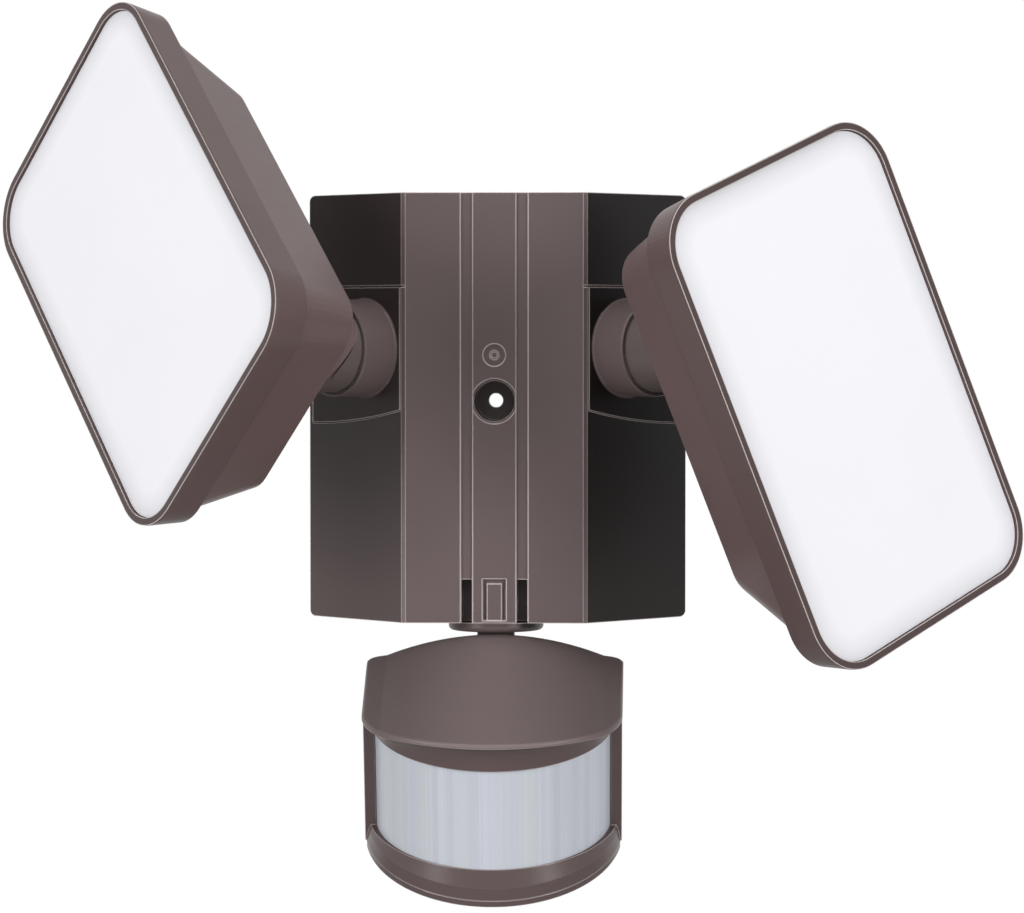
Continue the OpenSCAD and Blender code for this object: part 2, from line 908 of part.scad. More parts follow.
ear_w = 5;
ear_x = tongue_w / 2 + slide_gap;
ear_r = sensor_knuckle_r + 1;

module sensor_tilt_pin() {
    color(steel)
    sensor_frame()
        x_cylinder(pin_r, 2 * (ear_x + ear_w));
}

// The drum's outline: a round front between straight sides, and a flat back
module drum_plan(r, back) {
    grown = r - drum_r;
    cy = -drum_front + drum_arc;
    intersection() {
        translate([0, cy])
            circle(drum_arc + grown, $fn = 128);
        translate([-r, cy - 2 * r])
            square([2 * r, 2 * r]);
    }
    translate([-r, cy])
        square([2 * r, -cy - back]);
}

// Everything above a plane t above the sloping foot
module above_foot(t) {
    foot_frame()
        translate([-far / 2, -far / 2, t])
            cube([far, far, far]);
}

module sensor_housing() {
    color(bronze)
    sensor_frame()
        difference() {
            union() {
                intersection() {
                    difference() {
                        translate([0, 0, drum_low - 20])
                            linear_extrude(drum_top - drum_low + 20)
                                drum_plan(drum_r, drum_back);
                        translate([0, 0, drum_low - 20])
                            linear_extrude(far)
                                drum_plan(drum_r - drum_wall, drum_back + drum_wall);
                    }
                    translate([-far / 2, -drum_fwd - strip_fwd, -far / 2])
                        cube([far, far, far]);
                    above_foot(base_t);
                }
                flare_band();
                for (sx = [-1, 1])
                    jamb(sx);
                for (sx = [-1, 1])
                    ear(sx);
                for (sx = [-1, 1])
                    translate([sx * 20, -board_fwd, board_mid])
                        rotate([-90, 0, 0])
                            cylinder(r = 3, h = board_fwd - drum_back - 1);
            }
            x_cylinder(pin_r + 0.02, far);
        }
}

// Low wall round the front of the foot, with the flared band up to the lens
module flare_band() {
    difference() {
        intersection() {
            foot_frame()
                translate([0, drum_fwd - drum_front + drum_arc, 0])
                    rotate_extrude($fn = 128)
                        polygon([
                            [0, 0], [drum_arc, 0], [low_wall_r, low_wall_h],
                            [low_wall_r - band_slope * 8, low_wall_h + 8], [0, low_wall_h + 8]
                        ]);
            translate([-far / 2, -far - drum_fwd - strip_fwd + 2, lens_low - far])
                cube([far, far, far]);
            translate([0, 0, lens_low - far / 2])
                linear_extrude(far)
                    drum_plan(drum_r, drum_back);
            above_foot(base_t);
        }
        translate([0, -drum_fwd, lens_low - 20])
            cylinder(r = lens_r - 3, h = 30, $fn = 128);
        foot_frame()
            translate([0, drum_fwd - drum_front + drum_arc, -1])
                cylinder(r = low_wall_r - 2, h = low_wall_h - 1, $fn = 128);
    }
}

// Post beside the lens, inside the drum's wall
module jamb(sx) {
    difference() {
        translate([sx * (drum_r - 2) - 2, -drum_fwd - strip_fwd, lens_low - 3])
            cube([4, strip_fwd + 6, drum_top - lens_low + 3]);
        translate([0, -drum_fwd, lens_low - 3 - 1])
            cylinder(r = lens_r + seat_gap, h = far, $fn = 128);
        translate([0, 0, lens_low - 3 - 1])
            linear_extrude(far)
                difference() {
                    square(far, center = true);
                    drum_plan(drum_r - 0.5, drum_back);
                }
    }
}

module ear(sx) {
    translate([sx * (ear_x + ear_w / 2), 0, 0]) {
        x_cylinder(ear_r, ear_w);
        translate([-ear_w / 2, -drum_back - 1, -ear_r])
            cube([ear_w, drum_back + 1, 2 * ear_r]);
    }
}

band_slope = 0.46;
board_fwd = 30;
board_mid = -15;

module sensor_lens() {
    color(milky)
    sensor_frame()
        intersection() {
            translate([0, -drum_fwd, lens_low])
                ring(lens_r, lens_r - lens_t, lens_top - lens_low);
            translate([-far / 2, -far - drum_fwd - 3, -far / 2])
                cube([far, far, far]);
        }
}

module sensor_hood() {
    color(bronze)
    sensor_frame()
        difference() {
            intersection() {
                linear_extrude(3 * crown_back)
                    hood_plan();
                crown(0);
                union() {
                    translate([-far / 2, -drum_fwd, drum_top])
                        cube([far, far, far]);
                    hood_apron();
                    intersection() {
                        lip_cone();
                        translate([-far / 2, -far - drum_fwd, drum_top])
                            cube([far, far + 1, far]);
                    }
                }
            }
            intersection() {
                translate([0, 0, -1])
                    linear_extrude(3 * crown_back)
                        drum_plan(lens_r - 3, drum_back + hood_wall);
                crown(hood_wall);
            }
            translate([-ear_x - ear_w - 0.5, -drum_back - 1.4, 0])
                cube([2 * ear_x + 2 * ear_w + 1, 5, ear_r + 0.5]);
        }
}

// The hood's outline from above: a flat arc in front with round corners
module hood_plan() {
    cx = drum_r - hood_corner;
    cy = -hood_front + hood_r;
    reach = hood_r - hood_corner;
    cz = cy - sqrt(reach * reach - cx * cx);
    k = hood_r / reach;
    translate([-drum_r, cz])
        square([2 * drum_r, -drum_back - hood_back_r - cz]);
    translate([-drum_r + hood_back_r, cz])
        square([2 * drum_r - 2 * hood_back_r, -drum_back - cz]);
    for (sx = [-1, 1]) {
        translate([sx * cx, cz])
            circle(hood_corner, $fn = 96);
        translate([sx * (drum_r - hood_back_r), -drum_back - hood_back_r])
            circle(hood_back_r);
    }
    intersection() {
        translate([0, cy])
            circle(hood_r, $fn = 180);
        polygon([[0, cy], [-cx * k * 2, cy + (cz - cy) * k * 2], [cx * k * 2, cy + (cz - cy) * k * 2]]);
    }
    polygon([[0, cy], [-cx, cz], [0, -hood_front + 1], [cx, cz]]);
}

// Everything under the hood's crowned top, lowered by t
module crown(t) {
    slope = atan2(crown_back - crown_front, hood_front - drum_back);
    translate([0, -drum_back, crown_back - t])
        rotate([90 + slope, 0, 0])
            translate([0, 0, -20])
                linear_extrude(hood_front + 20) {
                    intersection() {
                        translate([0, -crown_r])
                            circle(crown_r, $fn = 256);
                        translate([-drum_r + cheek_w, -3 * crown_back])
                            square([2 * drum_r - 2 * cheek_w, 3 * crown_back + 1]);
                    }
                    cheek_drop = crown_r - sqrt(crown_r * crown_r - pow(drum_r - cheek_w, 2));
                    translate([-drum_r, -3 * crown_back])
                        square([2 * drum_r, 3 * crown_back - cheek_drop - 0.4]);
                }
}

// Undercut between the hood's lip and the top of the lens
module lip_cone() {
    translate([0, -drum_fwd, lens_top])
        rotate_extrude($fn = 128)
            polygon([
                [0, 0], [lens_r + 0.6, 0],
                [drum_r + 6.5, crown_front - lens_top - 3], [drum_r + 6.5, far],
                [0, far]
            ]);
}

module hood_apron() {
    intersection() {
        lip_cone();
        translate([-far / 2, -far - drum_fwd - strip_fwd - 0.1, -far / 2])
            cube([far, far, far]);
    }
}

base_screw_spots = [[-24, 24], [24, 24], [-24, -18], [24, -18]];

module sensor_base() {
    color(bronze)
    sensor_frame()
        difference() {
            intersection() {
                translate([0, 0, drum_low - 20])
                    linear_extrude(far)
                        drum_plan(drum_r - 0.5, drum_back);
                foot_frame()
                    translate([-far / 2, -far / 2, 0])
                        cube([far, far, base_t]);
            }
            foot_frame() {
                for (sx = [-1, 1])
                    translate([sx * dial_x, 0, -1])
                        cylinder(r = 2 + run_gap, h = base_t + 2);
                translate([0, 18, 0])
                    cube([4.6 + 2 * switch_travel, 3.6, 4 * base_t], center = true);
                for (p = base_screw_spots)
                    translate([p[0], p[1], -1])
                        cylinder(r = 1.5, h = base_t + 2);
            }
        }
}

module sensor_base_screws() {
    color(steel)
    sensor_frame()
        foot_frame()
            for (p = base_screw_spots)
                translate([p[0], p[1], 0]) {
                    mirror([0, 0, 1])
                        screw_head(2.6, 1.6);
                    cylinder(r = 1.2, h = 8);
                }
}

module sensor_board() {
    color(board_green)
    sensor_frame()
        translate([-28, -board_fwd - 1.6, board_mid - 13])
            cube([56, 1.6, 26]);
}

module pir_element() {
    color(steel)
    sensor_frame()
        translate([0, -board_fwd - 1.6, board_mid])
            rotate([90, 0, 0]) {
                cylinder(r = 4.6, h = 0.6);
                cylinder(r = 4.1, h = 4.2);
            }
}

module dial(sx) {
    color(dark)
    sensor_frame()
        foot_frame()
            translate([sx * dial_x, 0, 0]) {
                cylinder(r = 2, h = base_t + 6);
                translate([0, 0, -slide_gap - 3])
                    difference() {
                        union() {
                            cylinder(r = dial_r, h = 3);
                            cylinder(r = 2, h = 4);
                            for (i = [0 : 11])
                                rotate([0, 0, i * 30])
                                    translate([dial_r, 0, 0])
                                        cylinder(r = 0.6, h = 3, $fn = 16);
                        }
                        translate([-dial_r * 0.6, -0.6, -1])
                            cube([dial_r * 1.2, 1.2, 2]);
                    }
            }
}

module time_dial() {
    dial(-1);
}

module range_dial() {
    dial(1);
}

module mode_switch() {
    color(dark)
    sensor_frame()
        foot_frame() {
            translate([-2, 16.5, -3])
                cube([4, 3, base_t + slide_gap + 4]);
            translate([-4, 15, base_t + slide_gap])
                cube([8, 6, 2]);
        }
}

canopy_housing();
back_plate();
back_plate_screws();
wall_gasket();
wire_grommet();
driver_board();
driver_parts();
arm_panel(1);  // right_arm_panel
arm_panel(-1);  // left_arm_panel
lamp_arm(1);  // right_lamp_arm
lamp_arm(-1);  // left_lamp_arm
arm_washer(1);  // right_arm_washer
arm_washer(-1);  // left_arm_washer
arm_nut(1);  // right_arm_nut
arm_nut(-1);  // left_arm_nut
tilt_screw(1);  // right_tilt_screw
tilt_screw(-1);  // left_tilt_screw
rear_housing(1);  // right_rear_housing
rear_housing(-1);  // left_rear_housing
bezel(1);  // right_bezel
bezel(-1);  // left_bezel
diffuser(1);  // right_diffuser
diffuser(-1);  // left_diffuser
seal(1);  // right_seal
seal(-1);  // left_seal
led_board(1);  // right_led_board
led_board(-1);  // left_led_board
leds(1);  // right_leds
leds(-1);  // left_leds
board_screws(1);  // right_board_screws
board_screws(-1);  // left_board_screws
sensor_swivel();
swivel_nut();
sensor_tilt_pin();
sensor_housing();
sensor_hood();
sensor_lens();
sensor_base();
sensor_base_screws();
sensor_board();
pir_element();
time_dial();
range_dial();
mode_switch();
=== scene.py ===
import json
import math

import bmesh
import bpy
from bpy.props import FloatProperty, FloatVectorProperty, PointerProperty
from mathutils import Euler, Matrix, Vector

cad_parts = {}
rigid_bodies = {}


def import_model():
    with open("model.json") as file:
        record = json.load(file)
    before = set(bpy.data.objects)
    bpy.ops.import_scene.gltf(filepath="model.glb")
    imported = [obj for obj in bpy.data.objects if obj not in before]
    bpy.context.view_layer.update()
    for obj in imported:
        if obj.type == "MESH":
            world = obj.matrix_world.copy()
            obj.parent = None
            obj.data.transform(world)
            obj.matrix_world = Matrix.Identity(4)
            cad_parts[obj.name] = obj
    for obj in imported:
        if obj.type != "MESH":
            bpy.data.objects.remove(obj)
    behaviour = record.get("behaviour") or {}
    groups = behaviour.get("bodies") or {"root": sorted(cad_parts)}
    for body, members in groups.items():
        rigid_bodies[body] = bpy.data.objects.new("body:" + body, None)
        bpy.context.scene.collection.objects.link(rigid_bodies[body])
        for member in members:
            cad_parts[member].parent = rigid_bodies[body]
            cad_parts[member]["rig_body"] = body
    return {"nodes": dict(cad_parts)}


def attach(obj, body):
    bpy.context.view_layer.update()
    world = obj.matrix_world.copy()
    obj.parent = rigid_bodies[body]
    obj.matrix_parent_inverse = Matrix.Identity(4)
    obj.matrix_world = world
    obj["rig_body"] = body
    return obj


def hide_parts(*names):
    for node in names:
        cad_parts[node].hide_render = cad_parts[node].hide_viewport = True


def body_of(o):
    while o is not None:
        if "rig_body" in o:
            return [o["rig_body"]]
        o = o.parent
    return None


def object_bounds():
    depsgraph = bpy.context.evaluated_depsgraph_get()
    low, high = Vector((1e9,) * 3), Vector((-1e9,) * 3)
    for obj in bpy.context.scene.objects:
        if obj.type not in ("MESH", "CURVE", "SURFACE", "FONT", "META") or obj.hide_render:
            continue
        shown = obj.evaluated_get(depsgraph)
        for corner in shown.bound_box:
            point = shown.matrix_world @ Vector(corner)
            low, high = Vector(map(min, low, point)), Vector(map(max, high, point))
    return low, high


bl_info = {
    "name": "Security light",
    "version": (1, 0, 0),
    "blender": (4, 5, 0),
    "location": "3D View > Sidebar > Security light",
    "description": "Finishes and studio for a wall light with two LED lamps and a motion sensor",
    "category": "Object",
}

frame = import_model()
nodes = frame["nodes"]
cad_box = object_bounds()

MM = 0.001

# Heights between which the painted shade on the canopy's slanted faces changes, in millimetres
SLANT_LOW = -62
SLANT_HIGH = -12

# The sensor head at rest; the middle of its drum is this many millimetres ahead of the tilt pin
TILT_PIN = Vector((0, -42, -86)) * MM
SENSOR_TILT = math.radians(19)
SENSOR_PAN = math.radians(0.6)
DRUM_FORWARD = 45

# The arms and lamps at rest, right (1) and left (-1), in millimetres
ARM_FOOT = Vector((42.6, -46.7, 17))
ARM_ROLL = {1: math.radians(20.3), -1: math.radians(133.2)}
LAMP_TILT = {1: math.radians(-9.4), -1: math.radians(8.9)}
KNUCKLE_REACH = 28.8
FACE_FROM_KNUCKLE = Vector((6.1, -26, 53.3))

# A lamp's cover: half its straight sides across and along, and its corner's radius
COVER_ACROSS = 33.3
COVER_ALONG = 59.45
COVER_CORNER = 18

# The saddle between an arm's hub and the lug that turns in it
HUB_RADIUS = 14.2
LUG_SWEEP = 15.5
SADDLE_FOOT = 13.2
SADDLE_INNER = -0.5
SADDLE_WIDTH = 14.65

# The sensor's hood, in millimetres from the tilt pin
HOOD_HALF = 40.65
HOOD_BACK = 8.5
HOOD_LENGTH = 78.5
HOOD_TOP = 15.5
HOOD_FALL = 4.1
HOOD_FLARE = 0.016
# Across the hood, the crown sags by the square of the distance over these
CROWN_AT_BACK = 160
CROWN_AT_LIP = 640
BACK_ROLL = 0.9
BACK_ROLL_PART = 0.14
RIM_RADIUS = 0.8
LIP_CENTRE = 37.0
LIP_RADIUS = 50.0
LIP_CORNER_FROM = 30.5
LIP_CORNER_X = 14.65
LIP_CORNER_Y = 56.05
LIP_CORNER_RADIUS = 26.0
BACK_CORNER_FROM = 36.5
BACK_CORNER = 3.5
CHEEK_FROM = 34.4
LIP_FACE = 0.5
LIP_DEPTH = 0.8
COVE_FROM = 51.2
COVE_FOOT = 38.0
COVE_LOW = 0.75
WALL_LOW = 4.5
UNDER_ROWS = 9

# Where the hood's mesh has its points: across from the middle, and along from back to lip
HOOD_ACROSS = (
    0, 3, 6, 9, 12, 15, 18, 21, 24, 27, 29.5, 31.5, 33, 34.1, 34.4, 34.7, 35.6, 36.6, 37.5, 38.5,
    39.3, 39.9, 40.3, 40.55, 40.65,
)
HOOD_ALONG = (
    0, 0.004, 0.01, 0.02, 0.035, 0.055, 0.08, 0.11, 0.14, 0.18, 0.24, 0.31, 0.39, 0.47, 0.55, 0.63,
    0.71, 0.79, 0.86, 0.91, 0.945, 0.965, 0.98, 0.99, 0.996, 1,
)

# The studio, in metres
FLOOR_SIDE = 3
FLOOR_BACK = 0.35
CAMERA_PLACE = Vector((43.2, -1319.5, 22.1)) * MM
CAMERA_AIM = Vector((5.7, -60.0, -17.7)) * MM
LIGHTS = (
    # name, place, target, width, height, part of the key's power
    ("left_light", (-1.75, -1.75, 0.45), (0, 0, -0.02), 0.6, 1.5, 1.0),
    ("right_light", (1.75, -1.75, 0.35), (0, 0, -0.02), 0.6, 1.5, 1.0),
    ("top_light", (0.0, -0.9, 1.8), (0, 0, -0.05), 1.4, 0.9, 0.35),
    ("front_light", (0.0, -2.4, 0.9), (0, 0, -0.02), 1.2, 0.8, 0.2),
)


# Shader expressions


class Value:
    """A node's output that can stand in Python sums."""

    def __init__(self, tree, socket):
        self.tree = tree
        self.socket = socket

    def _math(self, operation, *values):
        return self.tree.add("ShaderNodeMath", {"operation": operation}, dict(enumerate(values)))

    def __add__(self, other):
        return self._math("ADD", self, other)

    __radd__ = __add__

    def __sub__(self, other):
        return self._math("SUBTRACT", self, other)

    def __rsub__(self, other):
        return self._math("SUBTRACT", other, self)

    def __mul__(self, other):
        return self._math("MULTIPLY", self, other)

    __rmul__ = __mul__

    def __pow__(self, other):
        return self._math("POWER", self, other)

    def __rpow__(self, other):
        return self._math("POWER", other, self)

    def __abs__(self):
        return self._math("ABSOLUTE", self)

    def sine(self):
        return self._math("SINE", self)

    def at_least(self, low):
        return self._math("MAXIMUM", self, low)

    def step(self, low, high):
        """0 below low and 1 above high, with a straight ramp between."""
        return self.tree.add(
            "ShaderNodeMapRange", {"clamp": True},
            {"Value": self, "From Min": low, "From Max": high, "To Min": 0.0, "To Max": 1.0},
        )


class Tree:
    """The nodes of a material or of the world."""

    def __init__(self, owner):
        owner.use_nodes = True
        self.nodes = owner.node_tree.nodes
        self.links = owner.node_tree.links

    def add(self, kind, settings=None, inputs=None, out=0):
        """One node: its settings first, then the values or links of its sockets."""
        node = self.nodes.new(kind)
        for key, setting in (settings or {}).items():
            setattr(node, key, setting)
        for key, value in (inputs or {}).items():
            self.put(node.inputs[key], value)
        return Value(self, node.outputs[out])

    def put(self, socket, value):
        if isinstance(value, Value):
            self.links.new(value.socket, socket)
        elif socket.type == "RGBA" and len(value) == 3:
            socket.default_value = (*value, 1)
        else:
            socket.default_value = value


class Finish(Tree):
    """A material's nodes, which end in its Principled shader."""

    def __init__(self, name):
        self.material = bpy.data.materials.new(name)
        super().__init__(self.material)
        self.shader = self.nodes["Principled BSDF"]

    def set(self, **inputs):
        for name, value in inputs.items():
            self.put(self.shader.inputs[name.replace("_", " ")], value)

    def place(self):
        """The piece's own coordinates, in metres, which turn with it."""
        return self.add("ShaderNodeTexCoord", out="Object")

    def noise(self, place, scale, detail=2.0, rough=0.5):
        return self.add(
            "ShaderNodeTexNoise", {},
            {"Vector": place, "Scale": scale, "Detail": detail, "Roughness": rough},
        )

    def vector_math(self, operation, a, b, out="Vector"):
        return self.add("ShaderNodeVectorMath", {"operation": operation}, {0: a, 1: b}, out)

    def stretch(self, place, factors):
        return self.vector_math("MULTIPLY", place, factors)

    def away_from(self, place, point):
        return self.vector_math("SUBTRACT", place, point)

    def dot(self, a, b):
        return self.vector_math("DOT_PRODUCT", a, b, "Value")

    def mix(self, factor, a, b):
        """Colours a to b; the numbers are the Mix node's factor, colour and result sockets."""
        return self.add("ShaderNodeMix", {"data_type": "RGBA"}, {0: factor, 6: a, 7: b}, out=2)

    def split(self, vector):
        first = self.add("ShaderNodeSeparateXYZ", {}, {0: vector})
        return [Value(self, socket) for socket in first.socket.node.outputs]

    def soft_edges(self, radius):
        """Normals rounded over the edges, and a mask of where they are rounded."""
        soft = self.add("ShaderNodeBevel", {"samples": 8}, {"Radius": radius})
        flat = self.add("ShaderNodeNewGeometry", out="Normal")
        return soft, (1 - self.dot(soft, flat)).step(0.002, 0.02)

    def bump(self, height, strength, distance, normal=None):
        inputs = {"Height": height, "Strength": strength, "Distance": distance}
        if normal is not None:
            inputs["Normal"] = normal
        return self.add("ShaderNodeBump", {}, inputs)


def lighter(colour, k):
    return tuple(min(1.0, c * k) for c in colour)


def coat(names, material):
    for name in names:
        mesh = nodes[name].data
        mesh.materials.clear()
        mesh.materials.append(material)


def both(*names):
    return [side + name for name in names for side in ("right_", "left_")]


def head_place(tree):
    """Coordinates that stand with the sensor head, from its tilt pin."""
    return tree.add(
        "ShaderNodeVectorRotate", {"rotation_type": "EULER_XYZ", "invert": True},
        {"Vector": tree.away_from(tree.place(), TILT_PIN), "Rotation": (SENSOR_TILT, 0, SENSOR_PAN)},
    )


def arm_point(side, point):
    """A point of an arm, in millimetres from its foot with z along it, as a point of the light."""
    slant = Euler((math.pi / 2, 0, math.pi / 4)).to_matrix()
    roll = Euler((0, 0, ARM_ROLL[side])).to_matrix()
    placed = ARM_FOOT + slant @ roll @ point
    placed.x *= side
    return placed * MM


def lamp_face(side):
    """Middle of a lamp's cover and the directions across, along and out of it."""
    turn = Euler((LAMP_TILT[side], 0, 0)).to_matrix()
    middle = Vector((0, 0, KNUCKLE_REACH)) + turn @ FACE_FROM_KNUCKLE
    placed = arm_point(side, middle)
    ways = [(arm_point(side, middle + row) - placed).normalized() for row in turn.transposed()]
    return placed, *ways


# Finishes


def moulded_bronze(name, colour, rough, edge_highlight=1.0, gloss=0.24, shades=(), cheek_shade=1.0, front=None):
    """Bronze moulded plastic with a fine pearl grain and smoother corners lightened by a painted
    highlight.

    Each of shades is a direction and the parts of the colour that flat faces looking that way keep,
    high up and low down, as painted shade. Where front is given, only the edges on that side get the
    painted highlight. The sides of the sensor's hood keep, as painted shade, the part of the colour
    that the cheek shade argument says.
    """
    tree = Finish(name)
    place = tree.place()
    clouds = tree.noise(place, 28.0, 3.0)
    pearl = tree.noise(place, 2600.0, 2.0, 0.7)
    flow = tree.noise(tree.stretch(place, (9.0, 9.0, 60.0)), 6.0, 2.0)
    soft, edge = tree.soft_edges(0.00045)
    tint = tree.mix(clouds.step(0.3, 0.7), lighter(colour, 0.95), lighter(colour, 1.05))
    tint = tree.mix(pearl.step(0.55, 0.85) * 0.12, tint, lighter(colour, 2.0))
    # Painted shade: flat faces looking along each direction take a darker colour, set apart for high
    # and low
    for direction, part, low_part in shades:
        faces = tree.add("ShaderNodeTexCoord", out="Normal")
        height = tree.split(place)[2].step(SLANT_LOW * MM, SLANT_HIGH * MM)
        shade = tree.mix(height, lighter(colour, low_part), lighter(colour, part))
        tint = tree.mix(tree.dot(faces, direction).step(0.96, 0.99), tint, shade)
    # Painted highlight kept only on the edges that face front
    if front is not None:
        turned = tree.add(
            "ShaderNodeVectorTransform",
            {"vector_type": "NORMAL", "convert_from": "WORLD", "convert_to": "OBJECT"},
            {"Vector": soft},
        )
        edge = edge * tree.dot(turned, front).step(0.1, 0.3)
    # Painted shade: the hood's sides darker than its middle
    if cheek_shade != 1:
        x = abs(tree.split(head_place(tree))[0])
        tint = tree.mix(x.step(4 * MM, 33 * MM), tint, lighter(colour, cheek_shade))
    # Painted highlight: the rounded edges are mixed towards a pale bronze
    tint = tree.mix(edge * edge_highlight, tint, (0.62, 0.55, 0.53))
    tree.set(
        Base_Color=tint,
        Roughness=rough + (flow - 0.5) * 0.06 + (pearl - 0.5) * 0.1 - edge * 0.12,
        Normal=tree.bump(pearl, 0.05, 0.0002, soft),
        IOR=1.5,
        Specular_IOR_Level=gloss,
    )
    return tree.material


def black_plastic(name, colour, rough):
    tree = Finish(name)
    place = tree.place()
    clouds = tree.noise(place, 60.0, 3.0)
    fine = tree.noise(place, 3200.0, 2.0)
    soft, edge = tree.soft_edges(0.0005)
    tint = tree.mix(clouds, lighter(colour, 0.8), lighter(colour, 1.2))
    # Painted highlight: the rounded edges lightened towards three times the colour
    tree.set(
        Base_Color=tree.mix(edge * 0.5, tint, lighter(colour, 3)),
        Roughness=rough + (clouds - 0.5) * 0.1,
        Normal=tree.bump(fine, 0.06, 0.0002, soft),
    )
    return tree.material


def milky_cover(name, colour, glow, side):
    """Opal cover of a lamp: evenly bright, with painted shade making it a little greyer along the
    rim.
    """
    tree = Finish(name)
    place = tree.place()
    cloud = tree.noise(place, 14.0, 2.0)
    fine = tree.noise(place, 3000.0, 2.0)
    middle, across, along = lamp_face(side)[:3]
    moved = tree.away_from(place, middle)
    x = (abs(tree.dot(moved, across)) - COVER_ACROSS * MM).at_least(0)
    y = (abs(tree.dot(moved, along)) - COVER_ALONG * MM).at_least(0)
    inwards = COVER_CORNER * MM - (x * x + y * y) ** 0.5
    tint = tree.mix(cloud.step(0.35, 0.65), lighter(colour, 0.985), colour)
    # Painted shade along the rim, where the bezel meets the cover
    tint = tree.mix(inwards.step(1.5 * MM, 11 * MM) ** 0.6, lighter(colour, 0.74), tint)
    tree.set(
        Base_Color=tint,
        Roughness=0.42 + (fine - 0.5) * 0.08,
        Emission_Color=tint,
        Emission_Strength=glow,
        Normal=tree.bump(fine, 0.02, 0.0001),
    )
    return tree.material


def ribbed_lens(name, colour):
    """Frosted lens with upright lenticular ribs."""
    tree = Finish(name)
    x, y = tree.split(head_place(tree))[:2]
    ahead = (y + DRUM_FORWARD * MM) * -1
    angle = tree.add("ShaderNodeMath", {"operation": "ARCTAN2"}, {0: x, 1: ahead})
    ribs = (angle * 150.0).sine() * 0.5 + 0.5
    turn = tree.add("ShaderNodeCombineXYZ", {}, {0: angle})
    wide = tree.add("ShaderNodeTexVoronoi", {}, {"Vector": turn, "Scale": 12.0}, out="Color")
    narrow = tree.add("ShaderNodeTexVoronoi", {}, {"Vector": turn, "Scale": 47.0}, out="Color")
    tone, green = tree.split(wide)[:2]
    fine = tree.split(narrow)[0]
    cloud = tree.noise(tree.place(), 30.0, 2.0)
    tint = tree.mix(tone, lighter(colour, 0.93), lighter(colour, 1.06))
    tint = tree.mix(green.step(0.7, 0.75) * 0.5, tint, (0.53, 0.58, 0.58))
    tint = tree.mix(fine.step(0.2, 0.9) * 0.4, tint, lighter(colour, 0.9))
    tint = tree.mix(ribs * 0.03, tint, lighter(colour, 0.86))
    tree.set(
        Base_Color=tint,
        Roughness=0.34 + (cloud - 0.5) * 0.1,
        Normal=tree.bump(ribs, 0.1, 0.0004),
        Specular_IOR_Level=0.3,
    )
    return tree.material


def plated_steel(name, colour):
    tree = Finish(name)
    place = tree.place()
    scratches = tree.noise(tree.stretch(place, (1.0, 1.0, 18.0)), 700.0, 3.0)
    cloud = tree.noise(place, 90.0, 3.0)
    soft, edge = tree.soft_edges(0.0003)
    tree.set(
        Base_Color=tree.mix(cloud.step(0.3, 0.7), lighter(colour, 0.85), colour),
        Metallic=1.0,
        Roughness=0.28 + (scratches - 0.5) * 0.2,
        Normal=tree.bump(scratches, 0.08, 0.0001, soft),
    )
    return tree.material


def foam_rubber(name, colour):
    tree = Finish(name)
    place = tree.place()
    cells = tree.add("ShaderNodeTexVoronoi", {}, {"Vector": place, "Scale": 1400.0}, "Distance")
    cloud = tree.noise(place, 80.0, 3.0)
    tree.set(
        Base_Color=tree.mix(cells.step(0.1, 0.6), lighter(colour, 0.6), lighter(colour, 1.4)),
        Roughness=0.85 + (cloud - 0.5) * 0.15,
        Normal=tree.bump(cells, 0.3, 0.0003),
    )
    return tree.material


def circuit_board(name, colour, copper):
    """Varnished board with faint tracks under the varnish."""
    tree = Finish(name)
    place = tree.place()
    tracks = tree.add(
        "ShaderNodeTexBrick", {"offset": 0.5},
        {"Vector": place, "Scale": 90.0, "Mortar Size": 0.02,
         "Color1": (0, 0, 0), "Color2": (0, 0, 0), "Mortar": (1, 1, 1)},
    )
    cloud = tree.noise(place, 120.0, 3.0)
    varnish = tree.mix(cloud, lighter(colour, 0.9), lighter(colour, 1.1))
    tree.set(
        Base_Color=tree.mix(tracks * 0.6, varnish, copper),
        Roughness=0.35 + (cloud - 0.5) * 0.1,
    )
    return tree.material


def led_resin(name, colour):
    tree = Finish(name)
    place = tree.place()
    cloud = tree.noise(place, 500.0, 2.0)
    tree.set(
        Base_Color=tree.mix(cloud, lighter(colour, 0.9), colour),
        Roughness=0.25 + (cloud - 0.5) * 0.1,
    )
    return tree.material


# Sizes and colours


def colour_property(name, description, default):
    return FloatVectorProperty(
        name=name, description=description, default=default, subtype="COLOR", size=3, min=0, max=1
    )


def part_property(name, description, default, low=0.0):
    return FloatProperty(
        name=name, description=description, default=default, min=low, max=1, subtype="FACTOR"
    )


class CanopyLooks(bpy.types.PropertyGroup):
    colour: colour_property("Colour", "Colour of the canopy", (0.124, 0.092, 0.092))
    # Painted shade: the part of the colour that the canopy's slanted faces keep
    slant_shades: part_property("Slanted faces", "Part of the colour that the slanted faces keep", 0.32)
    rough: part_property("Roughness", "Roughness of the canopy", 0.36, 0.05)


class LampLooks(bpy.types.PropertyGroup):
    colour: colour_property("Colour", "Colour of the lamp housings and bezels", (0.134, 0.09, 0.088))
    rough: part_property("Roughness", "Roughness of the housings", 0.36, 0.05)
    cover: colour_property("Cover", "Colour of the opal covers", (0.86, 0.86, 0.9))
    glow: FloatProperty(
        name="Glow", description="How far the covers shine by themselves", default=0.0, min=0, max=5
    )


class SensorLooks(bpy.types.PropertyGroup):
    shell: colour_property("Shell", "Colour of the sensor's housing", (0.093, 0.063, 0.063))
    # A lighter copy of the shell's colour: painted light on the hood's top
    hood: colour_property("Hood", "Colour of the sensor's hood", (0.185, 0.143, 0.142))
    rough: part_property("Roughness", "Roughness of the sensor's housing", 0.3, 0.05)
    lens: colour_property("Lens", "Colour of the frosted lens", (0.52, 0.54, 0.6))


